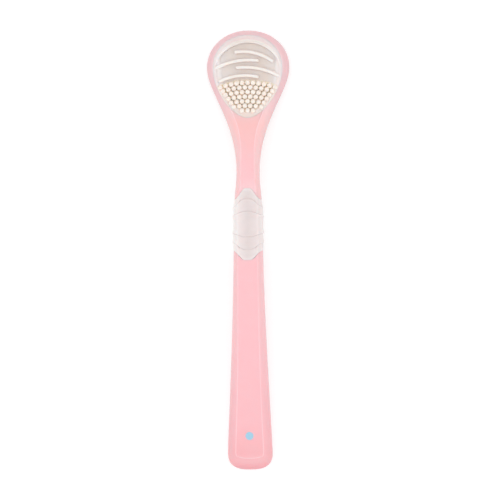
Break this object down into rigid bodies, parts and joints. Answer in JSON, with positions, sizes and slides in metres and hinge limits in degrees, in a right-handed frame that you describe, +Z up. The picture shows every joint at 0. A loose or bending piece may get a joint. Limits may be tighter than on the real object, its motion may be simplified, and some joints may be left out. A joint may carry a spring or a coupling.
{
  "type": "tongue brush",
  "caption": "Tongue brush with a rigid handle, a rippled soft grip at its waist, and a soft head pad with a raised ridge, scraping ribs and cleaning nubs.",
  "frame": {"origin": "under the middle of the length, on the surface that the brush lies on, on its back", "axes": "+Y runs along the brush towards its head, +Z up out of its cleaning side, +X across it"},
  "size_m": [0.032, 0.17, 0.0112],
  "materials": {
    "handle_plastic": "smooth gloss, pale pink, faintly translucent",
    "pad_rubber": "soft satin, translucent cream",
    "grip_rubber": "soft satin, pinkish white"
  },
  "bodies": {
    "root": {"handle": "handle_plastic", "head_pad": "pad_rubber", "grip": "grip_rubber"}
  },
  "joints": []
}
